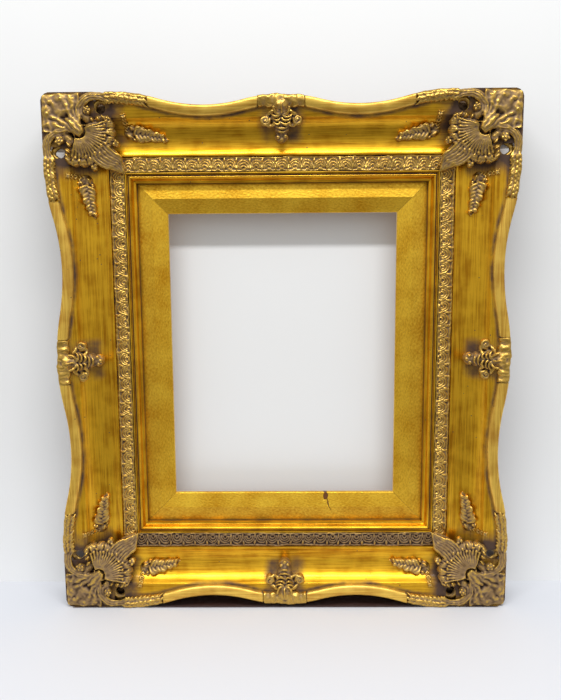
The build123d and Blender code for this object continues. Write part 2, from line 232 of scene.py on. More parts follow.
def piece(name, bm, place, materials, node, sharp=35):
    """A finished piece in its place, riding on the frame and standing for its node."""
    bm.transform(place)
    if place.determinant() < 0:
        bmesh.ops.reverse_faces(bm, faces=bm.faces)
    mesh = as_mesh(name, bm)
    mesh.polygons.foreach_set("use_smooth", [True] * len(mesh.polygons))
    mesh.set_sharp_from_angle(angle=radians(sharp))
    for material in materials:
        mesh.materials.append(material)
    made = stand(name, mesh)
    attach(made, "frame")
    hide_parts(node)


def linear(colour):
    """A written sRGB colour in the linear values that a shader takes."""
    parts = [int(colour[index:index + 2], 16) / 255 for index in (1, 3, 5)]
    return [part / 12.92 if part <= 0.04045 else ((part + 0.055) / 1.055)**2.4 for part in parts] + [1.0]


def plug(node, inputs):
    """Fills a node's inputs, by name or in order, with values, written colours or outputs to link to."""
    for socket, value in inputs.items() if isinstance(inputs, dict) else enumerate(inputs):
        if isinstance(value, bpy.types.NodeSocket):
            node.id_data.links.new(value, node.inputs[socket])
        else:
            node.inputs[socket].default_value = linear(value) if isinstance(value, str) else value


def add_node(tree, kind, inputs=(), output=0, **settings):
    """One shader node with its settings and inputs, given as the output that is needed from it."""
    made = tree.nodes.new("ShaderNode" + kind)
    for name, value in settings.items():
        setattr(made, name, value)
    plug(made, inputs)
    return made.outputs[output]


def start_material(name):
    """A new material, the way to add nodes to it, and its surface shader."""
    material = bpy.data.materials.new(name)
    material.use_nodes = True
    tree = material.node_tree
    return material, partial(add_node, tree), tree.nodes["Principled BSDF"]


def gilded_moulding(name, bright, deep, metal_share):
    """Bronze powder gilding: warm metal in streaks, with brown painted shade in its creases, dust and fly
    specks.
    """
    material, add, shader = start_material(name)
    surface = add("UVMap", uv_map="surface")
    place = add("TexCoord", output="Object")
    painted_shade_and_dirt = add("Attribute", output="Fac", attribute_name="painted_shade_and_dirt")
    # Streaks 90 mm long and 2.2 mm wide, then finer ones 30 mm by 0.7 mm
    streak = add("Mapping", {"Vector": surface, "Scale": (1 / 90, 1 / 2.2, 1)})
    streak = add("TexNoise", {"Vector": streak, "Scale": 1.0, "Detail": 3.0})
    fine = add("Mapping", {"Vector": surface, "Scale": (1 / 30, 1 / 0.7, 1)})
    fine = add("TexNoise", {"Vector": fine, "Scale": 1.0, "Detail": 2.0})
    # Clouds about 16 mm across, which vary the gold and break up the painted shade, and fly specks in 9 mm
    # cells
    cloud = add("TexNoise", {"Vector": place, "Scale": 1 / (16 * mm), "Detail": 4.0})
    speck = add("TexVoronoi", {"Vector": place, "Scale": 1 / (9 * mm)})
    speck = add("MapRange", (speck, 0.035, 0.075, 1.0, 0.0))
    mixed = add("Math", (streak, cloud), operation="ADD")
    mixed = add("Math", (fine, mixed), operation="ADD")
    depth = add("MapRange", (mixed, 1.32, 1.76))
    gold = add("Mix", {0: depth, 6: bright, 7: deep}, 2, data_type="RGBA")
    # Painted shade and dust from the mesh, broken up by the clouds, turn the gold brown and less metallic
    ragged_shade_and_dirt = add("Math", (cloud, painted_shade_and_dirt), operation="MULTIPLY")
    ragged_shade_and_dirt = add("MapRange", (ragged_shade_and_dirt, 0.12, 0.52))
    soil_and_painted_shade = add("Math", (ragged_shade_and_dirt, speck), operation="MAXIMUM")
    brown = add("Mix", {0: cloud, 6: "#341804", 7: "#5e4738"}, 2, data_type="RGBA")
    gloss = add("Math", (fine, 0.16, 0.27), operation="MULTIPLY_ADD")
    ridges = add("Math", (fine, 0.5, streak), operation="MULTIPLY_ADD")
    plug(shader, {
        "Base Color": add("Mix", {0: soil_and_painted_shade, 6: gold, 7: brown}, 2, data_type="RGBA"),
        "Metallic": add("MapRange", (soil_and_painted_shade, 0.0, 1.0, metal_share, 0.25)),
        "Roughness": add("Math", (soil_and_painted_shade, 0.3, gloss), operation="MULTIPLY_ADD"),
        "Normal": add("Bump", {"Height": ridges, "Strength": 0.3, "Distance": 0.1 * mm}),
        "Coat Weight": 0.15,
        "Coat Roughness": 0.15,
    })
    return material


def planed_wood(name, dark, pale):
    """Planed softwood gone brown with age: grain lines along the rail, no gloss."""
    material, add, shader = start_material(name)
    surface = add("UVMap", uv_map="surface")
    # Grain drawn out 120 mm along the rail in lines 1.6 mm apart, and pores of 9 by 0.35 mm
    grain = add("Mapping", {"Vector": surface, "Scale": (1 / 120, 1 / 1.6, 1)})
    grain = add("TexNoise", {"Vector": grain, "Scale": 1.0, "Detail": 5.0, "Distortion": 0.4})
    pore = add("Mapping", {"Vector": surface, "Scale": (1 / 9, 1 / 0.35, 1)})
    pore = add("TexNoise", {"Vector": pore, "Scale": 1.0, "Detail": 2.0})
    rings = add("ValToRGB", (grain,))
    for stop, place, colour in zip(rings.node.color_ramp.elements, (0.3, 0.72), (dark, pale)):
        stop.position = place
        stop.color = linear(colour)
    shade = add("MapRange", (pore, 0.35, 0.6, 0.72, 1.0))
    plug(shader, {
        "Base Color": add("Mix", {0: 1.0, 6: rings, 7: shade}, 2, data_type="RGBA", blend_type="MULTIPLY"),
        "Roughness": 0.75,
        "Normal": add("Bump", {"Height": pore, "Strength": 0.4, "Distance": 0.15 * mm}),
    })
    return material


front_steps = even_steps(0, shoulder.x, 10)[:-1] + even_steps(shoulder.x, cove_low.x, 16)[:-1]
front_steps += even_steps(cove_low.x, lip_start.x, 8)
rail_section = [Vector((inward, cover(inward))) for inward in front_steps]
rail_section += [Vector(point) for point in (
    (lip_end, lip_start.y), (lip_end, channel_floor), (channel_end, channel_floor),
    (channel_end, fillet_height), (quirk_start, fillet_height), (quirk_start, bead_start.y))]
rail_section += through_points(bead_start, bead_crest, bead_end, 10)
rail_section += [Vector(point) for point in (
    (sight_edge, bead_end.y), (sight_edge, rabbet_seat), (rabbet_wall, rabbet_seat), (rabbet_wall, 0),
    (shoulder.x, 0), (0, 0))]
rail_section = rounded(rail_section, arris)


def rail_stations(half):
    """Places along a rail: even steps, with close ones round the ends of its two notches."""
    count = round(2 * half / station_step)
    stations = {round(along, 3) for along in even_steps(-half, half, count)}
    for end in (-1, 1):
        middle = end * (half - scroll_place.x)
        stations = {along for along in stations if abs(along - middle) > notch_half + 0.5}
        turns = [middle + notch_half * cos(pi * step / 8) for step in range(9)]
        stations |= set(turns) | {turns[0] + 0.02, turns[-1] - 0.02}
    return sorted(stations)


def rail_painted_shade_and_dust(along, inward, height, half):
    """How much painted shade, and near the castings some dust, lies on a place of a rail's front."""
    from_rim = inward - scallop(along, half) - rim_width
    in_channel = lip_end - 0.1 < inward < channel_end + 0.1 and height < lip_start.y - 0.4
    # Painted shade, with some dust, round the castings, within 52 mm of a corner and 12 mm of a rail's middle
    near_corner = hump(max(half - abs(along) - 52, 0), 0, 14) * hump(max(inward - 36, 0), 0, 6)
    near_crown = hump(max(abs(along) - 12, 0), 0, 7) * hump(max(inward - 32, 0), 0, 7)
    # Painted shade on the sight wall below the bead, and a little on the top beside it
    painted_wall_shade = 0
    if inward > bead_end.x + 0.2:
        painted_wall_shade = 0.2 if height > bead_end.y - 0.5 else 1.0
    # Painted shade as dark lines at the rim's inner edge, in the quirk and on the channel floor under the
    # strip
    return max(
        0.9 * hump(from_rim, 0.6, 2.0), 0.5 * hump(inward, quirk_start + 0.4, 0.6), 0.9 if in_channel else 0,
        painted_wall_shade, near_corner, 0.8 * near_crown)


rail_places = {
    "top": placed((0, back, cad_high.z), (-1, 0, 0), (0, 0, -1)),
    "bottom": placed((0, back, cad_low.z), (1, 0, 0), (0, 0, 1)),
    "left": placed((cad_low.x, back, half_long * mm), (0, 0, -1), (1, 0, 0)),
    "right": placed((cad_high.x, back, half_long * mm), (0, 0, 1), (-1, 0, 0)),
}
rail_gold = gilded_moulding("gilded_moulding", "#f7c02e", "#bd8110", 1.0)
rail_wood = planed_wood("bare_softwood", "#6e4a28", "#b98c57")
rail_side = planed_wood("brown_washed_softwood", "#2a180e", "#5b3d24")
for side, half in half_lengths.items():
    bm = swept(rail_section, rail_stations(half))
    painted_shade_and_dirt = bm.verts.layers.float.new("painted_shade_and_dirt")
    for vert in bm.verts:
        along, inward, height = vert.co
        if inward < shoulder.x:
            edge = outer_edge(along, half)
            inward = edge + (shoulder.x - edge) * inward / shoulder.x
            if height > shoulder.y:
                height = table(inward)
            vert.co = (along, inward, height)
        vert[painted_shade_and_dirt] = rail_painted_shade_and_dust(along, inward, height, half)
    cut_mitres(bm, half)
    map_surface(bm)
    for face in bm.faces:
        middle = face.calc_center_median()
        behind = face.normal.z < -0.5 or (middle.y > rabbet_wall - 1 and middle.z < rabbet_seat)
        outside = middle.z < edge_height - gilded_side and face.normal.y < -0.5
        face.material_index = 1 if behind else 2 if outside else 0
    finishes = (rail_gold, rail_wood, rail_side)
    piece(f"{side}_rail_milled", bm, rail_places[side], finishes, f"{side}_rail")

# Rim beads: eight half-round strips bent along the scalloped edge between the corners and the centres.
# They are cast composition glued to the rails, rubbed to a paler gold where hands have worn them.
crown_half = 18.5
arm_length = 84.0
rim_height = 4.0
rim_spring = 1.6  # the half round springs from this height
rim_sunk = 1.5
rim_joint = 0.25
rim_step = 2.0
rim_section = [Vector((0, -rim_sunk)), Vector((0, 1.4))]
for turn in even_steps(0, pi, 12)[1:-1]:
    across, height = rim_width / 2 * (1 - cos(turn)), rim_spring + (rim_height - rim_spring) * sin(turn)
    rim_section.append(Vector((across, height)))
rim_section += [Vector((rim_width, 1.2)), Vector((rim_width, -rim_sunk))]
rim_gold = gilded_moulding("rubbed_rim", "#f7cc58", "#c89230", 0.62)
ends = {
    "top": ("left", "right"), "bottom": ("right", "left"),
    "left": ("lower", "upper"), "right": ("upper", "lower")}
for side, half in half_lengths.items():
    start, stop = crown_half + rim_joint, half - arm_length - rim_joint
    for hand, end in zip((1, -1), ends[side]):
        bm = swept(rim_section[::-1], even_steps(start, stop, round((stop - start) / rim_step)))
        painted_shade_and_dirt = bm.verts.layers.float.new("painted_shade_and_dirt")
        for vert in bm.verts:
            along, inward, height = vert.co
            from_end = min(along - start, stop - along)
            # Painted shade along the bead's inner edge on the cove, and dark joints at its ends
            vert[painted_shade_and_dirt] = 0.55 * hump(inward, rim_width, 0.9) + 0.5 * hump(from_end, 0, 1.0)
            inward += scallop(along, half)
            vert.co = (hand * along, inward, table(inward) + height)
        bmesh.ops.recalc_face_normals(bm, faces=bm.faces)
        map_surface(bm)
        piece(f"{side}_{end}_rim_bead", bm, rail_places[side], (rim_gold,), f"{side}_{end}_rim")

# Liner: four mitred lengths of a low ridged moulding inside the frame, held from behind by framer's points.
# Softwood under thick gesso, laid with bright metal leaf that has been stippled and lacquered.
liner_outer = 63.6
liner_back = 4.0
liner_sight = Vector((93.7, 14.0))
liner_ridge = Vector((81.5, 17.0))
picture_seat = Vector((87.35, 10.0))
liner_arris = 0.5
liner_foot = Vector((sight_edge, rabbet_seat))
liner_section = rounded([
    Vector((liner_sight.x, picture_seat.y)),
    liner_sight,
    liner_ridge.lerp(liner_sight, 0.5),
    liner_ridge,
    *(liner_ridge.lerp(liner_foot, share) for share in (0.04, 0.5, 0.9)),
    liner_foot,
    Vector((liner_outer, rabbet_seat)),
    Vector((liner_outer, liner_back)),
    Vector((picture_seat.x, liner_back)),
    picture_seat,
], liner_arris)
# Painted shade on the ridge's outer slope, most on the bottom length, a little on the sides and none on the
# top
slope_painted_shade = {"top": 0.0, "bottom": 0.17, "left": 0.05, "right": 0.05}  # on the ridge's outer slope
chip_place = (36 * mm, 90.6 * mm)  # where the bottom length is chipped, across and up
chip_size = 2.4 * mm


def stippled_leaf():
    """Metal leaf over stippled gesso: bright satin gold, broken by small pits, a chip, a crack and painted
    shade.
    """
    material, add, shader = start_material("stippled_leaf")
    surface = add("UVMap", uv_map="surface")
    place = add("TexCoord", output="Object")
    painted_shade_and_dirt = add("Attribute", output="Fac", attribute_name="painted_shade_and_dirt")
    # Stipple of 2.2 by 1.3 mm drawn slightly aslant, pits of 0.8 mm and clouds of 22 mm
    slant = add("Mapping", {"Vector": surface, "Rotation": (0, 0, 0.5), "Scale": (1 / 2.2, 1 / 1.3, 1)})
    stipple = add("TexNoise", {"Vector": slant, "Scale": 1.0, "Detail": 3.0})
    pits = add("TexNoise", {"Vector": surface, "Scale": 1 / 0.8, "Detail": 1.0})
    pits = add("MapRange", (pits, 0.66, 0.74, 0.0, 0.7))
    cloud = add("TexNoise", {"Vector": place, "Scale": 1 / (22 * mm), "Detail": 3.0})
    tone = add("Math", (stipple, cloud), operation="ADD")
    tone = add("MapRange", (tone, 0.75, 1.3))
    gold = add("Mix", {0: tone, 6: "#ffd040", 7: "#cd9116"}, 2, data_type="RGBA")
    # A crack 24 mm long that wanders across the length, with a chip down to the brown ground on it
    spot = add("Mapping", {"Vector": place, "Location": (-chip_place[0], 0, -chip_place[1])})
    across, _, up = add("SeparateXYZ", (spot,)).node.outputs
    wander = add("TexNoise", {"Vector": place, "Scale": 1 / (3 * mm), "Detail": 3.0})
    bend = add("Math", (wander, 3 * mm, -1.5 * mm), operation="MULTIPLY_ADD")
    aside = add("Math", (up, -0.35, bend), operation="MULTIPLY_ADD")
    aside = add("Math", (across, aside), operation="SUBTRACT")
    aside = add("Math", (aside,), operation="ABSOLUTE")
    far = add("Math", (up,), operation="ABSOLUTE")
    near = add("MapRange", (far, 11 * mm, 13 * mm, 1.0, 0.0))
    crack = add("MapRange", (aside, 0.25 * mm, 0.5 * mm, 1.0, 0.0))
    crack = add("Math", (crack, near), operation="MULTIPLY")
    reach = add("VectorMath", (spot, (1, 0, 0.6)), operation="MULTIPLY")
    reach = add("VectorMath", (reach,), "Value", operation="LENGTH")
    reach = add("Math", (reach, bend), operation="ADD")
    chip = add("MapRange", (reach, 0.8 * chip_size, chip_size, 1.0, 0.0))
    broken = add("Math", (crack, chip), operation="MAXIMUM")
    # Pits, painted shade from the mesh, the chip and the crack turn the leaf brown and dull
    soil_and_painted_shade = add("Math", (pits, painted_shade_and_dirt), operation="MAXIMUM")
    soil_and_painted_shade = add("Math", (soil_and_painted_shade, broken), operation="MAXIMUM")
    height = add("Math", (broken, -2.5, stipple), operation="MULTIPLY_ADD")
    plug(shader, {
        "Base Color": add("Mix", {0: soil_and_painted_shade, 6: gold, 7: "#6b3c10"}, 2, data_type="RGBA"),
        "Metallic": add("MapRange", (soil_and_painted_shade, 0.0, 1.0, 0.88, 0.2)),
        "Roughness": add("MapRange", (tone, 0.0, 1.0, 0.36, 0.46)),
        "Normal": add("Bump", {"Height": height, "Strength": 0.8, "Distance": 0.3 * mm}),
    })
    return material


liner_leaf = stippled_leaf()
for side, half in half_lengths.items():
    span = half - liner_outer
    bm = swept(liner_section[::-1], even_steps(-span, span, round(2 * span / station_step)))
    painted_shade_and_dirt = bm.verts.layers.float.new("painted_shade_and_dirt")
    for vert in bm.verts:
        # Painted shade: a dark line where the liner meets the rail's sight wall, and on the ridge's outer
        # slope
        if vert.co.z > picture_seat.y + 2:
            toning_and_shade = slope_painted_shade[side] if vert.co.y < liner_ridge.x - 0.3 else 0
            vert[painted_shade_and_dirt] = max(0.9 * hump(vert.co.y, sight_edge, 0.8), toning_and_shade)
    cut_mitres(bm, half)
    map_surface(bm)
    for face in bm.faces:
        middle = face.calc_center_median()
        face.material_index = 1 if middle.z < picture_seat.y + 0.1 or middle.y < sight_edge - 1 else 0
    finishes = (liner_leaf, rail_wood)
    piece(f"{side}_liner_leafed", bm, rail_places[side], finishes, f"liner_{side}", 15)

# Corner castings: a ribbed shell with a boss at its root, a lumpy leaf out to the corner, a pierced
# scroll on each rail and leaf arms along the rim. Composition pressed in a mould and glued on, gilded,
# then toned grey-brown and rubbed back: high places shine, hollows stay dull, the deepest hold painted shade.
shell_root = 29.4
shell_front = 45.0
shell_fall = tan(radians(20))
leaf_front = 42.6
leaf_base = 35.0
leaf_edge = 0.7
leaf_reach = 38.0
strand_spread = 17.0
eye_place = Vector((19.0, 19.0))
band_centre = (43, 17)  # the scroll's bands curl round this place
pellet_step = 0.55  # pellets overlap: a share of their mean radius
least_pellet = 0.35
corner_voxel = 0.43
relief_passes = 24
relief_range = 1.05
uneven_broad = 0.9
uneven_fine = 0.4
# The bottom castings are left darker than the top ones by this much
bottom_casting_darkening = 0.12  # the bottom castings are rubbed back this much less
noise.seed_set(5)


def press(bm, shape):
    """Presses a finished shape onto the model."""
    pressed = as_mesh("pressed", shape)
    bm.from_mesh(pressed)
    bpy.data.meshes.remove(pressed)


def pellets(bm, spots, radii, flat=1.0):
    """Pellets of modelling wax, made as one batch and pressed onto the model."""
    batch = bmesh.new()
    for spot, radius in zip(spots, radii):
        shape = Matrix.Translation(spot) @ Matrix.Diagonal((1, 1, flat, 1))
        bmesh.ops.create_icosphere(batch, subdivisions=2, radius=radius, matrix=shape)
    press(bm, batch)


def ball(bm, centre, radius, flat=1.0):
    """A single pellet."""
    pellets(bm, [centre], [radius], flat)


def roll(bm, at, path, radii, flat=1.0):
    """A roll of wax that swells and tapers along a curve through three places."""
    path = [at(*place) for place in path]
    length = (path[1] - path[0]).length + (path[2] - path[1]).length
    count = max(4, round(length / (pellet_step * sum(radii) / 3)))
    sizes = [max(radius, least_pellet) for radius in through_points(*radii, count)]
    pellets(bm, through_points(*path, count), sizes, flat)


def coil(bm, at, centre, reaches, angles, heights, radii):
    """A curled roll, whose reach, angle, height and thickness go evenly from first to last."""
    length = radians(abs(angles[1] - angles[0])) * sum(reaches) / 2
    count = max(6, round(length / (pellet_step * sum(radii) / 2)))
    spots = []
    for reach, angle, height in zip(*(even_steps(*span, count) for span in (reaches, angles, heights))):
        turn = Vector((cos(radians(angle)), sin(radians(angle)))) * reach
        spots.append(at(centre[0] + turn.x, centre[1] + turn.y, height))
    pellets(bm, spots, even_steps(*radii, count))


def straight(along, inward, height):
    """Wax coordinates as they are written."""
    return Vector((along, inward, height))


def swapped(along, inward, height):
    """Wax coordinates across the corner's diagonal."""
    return Vector((inward, along, height))


def on_diagonal(reach, aside, height):
    """A place beside the corner's diagonal, by its reach from the outer lines."""
    return Vector((reach - aside, reach + aside, height))


def shell_bed(down, across):
    """Height of the shell's slope, which falls from its root into the cove."""
    return shell_front - shell_fall * (down + across - 2 * shell_root) / sqrt(2)


def on_shell(reach, angle, rise):
    """A place on the shell by its reach and angle from the root, and its rise above the slope."""
    down = shell_root + reach * sin(radians(angle))
    across = shell_root + reach * cos(radians(angle))
    return Vector((down, across, shell_bed(down, across) + rise))


def column(items, field, width, kind=float):
    """One field of many mesh items as an array."""
    values = np.empty(len(items) * width, dtype=kind)
    items.foreach_get(field, values)
    return values.reshape(-1, width)


def cast(name, bm, voxel, worn):
    """The wax fused into one skin and softened as a mould softens it, with its relief and wear measured."""
    holder = stand(name, as_mesh(name, bm))
    fuse = holder.modifiers.new("fuse", "REMESH")
    fuse.mode = "VOXEL"
    fuse.voxel_size = voxel
    soften = holder.modifiers.new("soften", "SMOOTH")
    soften.factor = 0.5
    soften.iterations = 2
    mesh = bpy.data.meshes.new_from_object(holder.evaluated_get(bpy.context.evaluated_depsgraph_get()))
    bpy.data.objects.remove(holder)
    # Uneven by hand, in waves of 9 mm and 3 mm
    for vert in mesh.vertices:
        broad, fine = noise.noise_vector(vert.co / 9), noise.noise_vector(vert.co / 3)
        vert.co += uneven_broad * broad + uneven_fine * fine
    spots = column(mesh.vertices, "co", 3)
    links = column(mesh.edges, "vertices", 2, int)
    starts, stops = np.concatenate((links, links[:, ::-1])).T
    shares = 1 / np.bincount(starts, minlength=len(spots))
    soft = spots
    for _ in range(relief_passes):
        sums = [np.bincount(starts, soft[stops, axis], len(spots)) for axis in range(3)]
        soft = np.stack([total * shares for total in sums], axis=1)
    above = ((spots - soft) * column(mesh.vertex_normals, "vector", 3)).sum(axis=1)
    relief = np.clip(0.5 + above / relief_range, 0, 1)
    for layer, values in (("relief", relief), ("wear", [worn(*spot) for spot in spots])):
        mesh.attributes.new(layer, "FLOAT", "POINT").data.foreach_set("value", values)
    return mesh


def taken_from(mould, toning_and_shade=0.0):
    """A casting taken from its mould, rubbed back less by the given amount, which darkens it."""
    bm = bmesh.new()
    bm.from_mesh(mould)
    wear = bm.verts.layers.float["wear"]
    for vert in bm.verts:
        vert[wear] -= toning_and_shade
    return bm


def patinated_casting():
    """Gilded composition: dull grey-brown toned ground in the hollows, painted shade in the deepest, pale
    gold where rubbed back.
    """
    material, add, shader = start_material("patinated_casting")
    place = add("TexCoord", output="Object")
    relief = add("Attribute", output="Fac", attribute_name="relief")
    wear = add("Attribute", output="Fac", attribute_name="wear")
    # Toning in clouds of 7 mm, with a 1.4 mm grain of the rubbing cloth
    cloud = add("TexNoise", {"Vector": place, "Scale": 1 / (7 * mm), "Detail": 3.0})
    grain = add("TexNoise", {"Vector": place, "Scale": 1 / (1.4 * mm), "Detail": 2.0})
    rubbed = add("Math", (cloud, 0.45, relief), operation="MULTIPLY_ADD")
    rubbed = add("Math", (grain, 0.25, rubbed), operation="MULTIPLY_ADD")
    rubbed = add("Math", (rubbed, wear), operation="ADD")
    rubbed = add("MapRange", (rubbed, 0.8, 1.14))
    # Painted shade: the deepest hollows, and the places rubbed least, go to a deep brown
    reached = add("Math", (wear, 0.6, relief), operation="MULTIPLY_ADD")
    painted_hollow_shade = add("MapRange", (reached, 0.08, 0.45, 1.0, 0.0))
    toning_and_shade = add("Mix", {0: cloud, 6: "#87662f", 7: "#987e62"}, 2, data_type="RGBA")
    toning_and_shade = add("Mix", {0: painted_hollow_shade, 6: toning_and_shade, 7: "#2e1608"}, 2, data_type="RGBA")
    gold = add("Mix", {0: grain, 6: "#ba8e36", 7: "#e0bb64"}, 2, data_type="RGBA")
    plug(shader, {
        "Base Color": add("Mix", {0: rubbed, 6: toning_and_shade, 7: gold}, 2, data_type="RGBA"),
        "Metallic": add("MapRange", (rubbed, 0.0, 1.0, 0.35, 0.95)),
        "Roughness": add("MapRange", (rubbed, 0.0, 1.0, 0.55, 0.33)),
        "Normal": add("Bump", {"Height": grain, "Strength": 0.4, "Distance": 0.25 * mm}),
    })
    return material


def shell_wax(bm):
    """The shell: a fan with fine ribs, beads and a lobed frill, a waved leaf at its tip with balls on both
    sides, and a boss of three rolls over its root."""
    rib_count, lobe_count, spread, wave = 18, 9, 124, 2.6
    for angle in range(-12, 103, 9):
        roll(bm, on_shell, [(9, angle, -4.4), (15, angle, -4.7), (21, angle, -4.6)], (4.0, 4.6, 4.4))
    for rib in range(rib_count):
        angle = 45 - spread / 2 + spread * rib / (rib_count - 1)
        reach = (21.5, 19.5, 20.5)[rib % 3]
        roll(bm, on_shell, [(6.4, angle, -0.3), (13, angle, 0.2), (reach, angle, 0.2)], (0.4, 0.62, 0.85))
        if rib % 3 != 2:
            ball(bm, on_shell(reach + 1.2, angle, 0.4), 1.3)
    for lobe in range(lobe_count):
        angle = 45 - spread / 2 + spread * (lobe + 0.5) / lobe_count
        roll(bm, on_shell, [(20, angle, -4.0), (23, angle, -3.8), (25, angle, -4.2)], (3.8, 3.8, 3.3))
        for side in (-1, 0, 1):
            lean = angle + 3.0 * side
            end = (27.2 - 0.8 * abs(side), lean + 1.8 * side, -1.9)
            roll(bm, on_shell, [(21.5, lean, -0.5), (24.6, lean + 0.9 * side, -0.2), end], (0.6, 0.95, 0.8))
    for aside in (-3.6, 0, 3.6):
        bed = [(41, aside, 32.4), (50.5, 0.8 * aside, 29.6), (59.5, 0.2 * aside, 26.6)]
        roll(bm, on_diagonal, bed, (4.6, 4.4, 2.0))
    for strand in range(-3, 4):
        root, waist = (21, 45 + 6.4 * strand, 0.0), (33, 45 + 4.0 * strand, 0.2)
        tip = (46 - 1.7 * abs(strand), 45 + 1.2 * strand, -0.1)
        roll(bm, on_shell, [root, (27, 45 + 5.2 * strand + wave, 0.3), waist], (0.8, 1.15, 1.15))
        bow = (39 - 0.6 * abs(strand), 45 + 2.9 * strand - wave, 0.1)
        roll(bm, on_shell, [waist, bow, tip], (1.15, 1.1, 0.6))
    for side in (-1, 1):
        for reach, turn in ((28.4, 23), (30.6, 26), (28.8, 29)):
            ball(bm, on_shell(reach, 45 + turn * side, -0.4), 1.5)
        ball(bm, on_shell(29.4, 45 + 26 * side, -3.0), 3.2)
    for aside in (-2.6, 0, 2.6):
        crest = (shell_root - 3.4, 0.8 * aside, 42.4 - 0.4 * abs(aside))
        boss = [(shell_root - 9, aside, 40.8), crest, (shell_root + 1.6, 0.5 * aside, 41.8)]
        roll(bm, on_diagonal, boss, (1.4, 2.5, 1.8))


def leaf_height(down, across):
    """The leaf's modelled face: uneven strands out from the boss, an eye on the diagonal, and a groove
    between the boss and the shell."""
    way = Vector((shell_root - down, shell_root - across))
    reach = way.length
    turn = (degrees(atan2(way.y, way.x)) - 45 + 180) % 360 - 180
    drift = noise.noise((down / 6, across / 6, 0.5))
    lump = max(noise.noise((down / 3.6, across / 3.6, 7.7)), 0)
    strength = max(0.6 + noise.noise((turn / 17, 0.3, 4.2)), 0.1)
    strand = strength * cos(2 * pi * (turn + 6 * drift) / strand_spread)
    carving = (0.62 * strand + 1.0 * lump + 0.7 * drift) * ease(0, 1, (reach - 7) / 9)
    leaf = leaf_front - 0.07 * max(reach - 10, 0) + carving
    leaf -= 3.6 * hump((Vector((down, across)) - eye_place).length, 0, 2.6)
    shell = shell_bed(down, across) - 2.4 - 3.6 * hump(reach, 5.6, 1.5)
    share = ease(0, 1, (abs(turn) - 82) / 22)
    edge = max(2.6 - min(down, across), 0)
    return leaf * (1 - share) + shell * share - 0.4 * edge**2


def corner_leaf_wax(bm):
    """The broad leaf between the boss and the outer corner, as a modelled slab with knobs on its rim."""
    slab = bmesh.new()
    middle, size = leaf_edge + leaf_reach / 2, leaf_reach / 2
    bmesh.ops.create_grid(
        slab, x_segments=84, y_segments=84, size=size, matrix=Matrix.Translation((middle, middle, leaf_base)))
    made = bmesh.ops.extrude_face_region(slab, geom=slab.faces[:])["geom"]
    for vert in (item for item in made if isinstance(item, bmesh.types.BMVert)):
        down, across = vert.co.x, vert.co.y
        # Cut away where the scrolls lie, and outside the rail's rounded corner
        beside = max(down, across) > 31 and min(down, across) < 25
        from_centre = Vector((max(corner_radius - down, 0), max(corner_radius - across, 0))).length
        past = from_centre - corner_radius + 0.8
        vert.co.z = leaf_base + 1 if beside or past > 0 else leaf_height(down, across)
    bmesh.ops.recalc_face_normals(slab, faces=slab.faces)
    press(bm, slab)
    for down, across, radius in (
            (7.6, 7.6, 3.4), (5.6, 16.5, 2.8), (16.5, 5.6, 2.8), (5.4, 25.0, 2.6), (25.0, 5.4, 2.6)):
        ball(bm, (down, across, leaf_front - radius), radius)


def scroll_wax(bm, at):
    """One pierced scroll: curled bands, a wall round its eye, a rosette and a row of knops."""
    for band in (
            ((13.2, 14.6), (168, 322), (40.4, 39.8), (2.0, 1.8)),
            ((14.2, 15.6), (172, 320), (42.0, 41.2), (0.85, 0.75)),
            ((12.4, 13.6), (172, 320), (42.0, 41.2), (0.7, 0.6)),
            ((10.8, 12.0), (176, 316), (40.8, 40.0), (1.3, 1.1)),
            ((15.6, 16.4), (215, 318), (39.6, 39.0), (1.6, 1.6))):
        coil(bm, at, band_centre, *band)
    coil(bm, at, scroll_place, (5.7, 5.7), (0, 352), (33.4, 33.4), (2.2, 2.2))
    ball(bm, at(36.6, 14.6, 39.8), 3.6)
    for petal in range(5):
        angle = radians(72 * petal)
        ball(bm, at(37.2 + 2.3 * cos(angle), 14.4 + 2.3 * sin(angle), 42.4), 1.25)
    ball(bm, at(37.2, 14.4, 43.6), 1.2)
    line = [Vector(place) for place in ((40.0, 21.5, 39.6), (50.0, 19.6, 39.4), (54.5, 22.6, 37.0))]
    for knop, radius in zip(through_points(*line, 5), (1.7, 2.2, 1.8, 2.3, 1.9, 1.5)):
        ball(bm, at(*knop), radius)
        fold = [knop + Vector(part) for part in ((-1.4, -1.6, 1.2), (0.3, 0, 2.2), (1.6, 1.8, 0.8))]
        roll(bm, at, fold, (0.5, 0.8, 0.5))
    roll(bm, at, [(30, 10, 37.5), (33, 17, 37.5), (38, 22, 36.5)], (4.0, 4.2, 3.6))
    roll(bm, at, [(42, 22, 35), (49, 22, 34.5), (55, 24, 32)], (2.6, 2.6, 2.0))


def arm_wax(bm, at, half):
    """A leaf arm along the rim: a rounded back with slanted leaflets and a plain outer edge."""
    def on_rim(along, across, rise):
        inward = scallop(half - along, half) + across
        return at(along, inward, table(inward) + rise)

    spine = [(52, 4.3, 0.4), (68, 4.3, 0.6), (arm_length - 3, 4.3, 0.2)]
    roll(bm, on_rim, spine, (3.8, 4.0, 3.9), 0.8)
    roll(bm, on_rim, [(52, 1.5, 1.6), (68, 1.5, 1.8), (arm_length - 1.6, 1.7, 1.4)], (1.4, 1.5, 1.3))
    for row, (across, rise, lean) in enumerate(((2.0, 2.1, -1.0), (4.4, 2.9, 0.6), (7.0, 1.7, 1.8))):
        for leaflet in range(9):
            along = 49 + 3.7 * leaflet + 1.8 * (row % 2)
            stray = noise.noise((along / 2, across, 0.7))
            crest = (along + 2.6, across + 0.8 * stray, rise + 0.7)
            tip = (along + 5.2 + stray, across + lean, rise - 0.5)
            roll(bm, on_rim, [(along, across - 0.3 * lean, rise), crest, tip], (0.7, 1.3, 0.6))


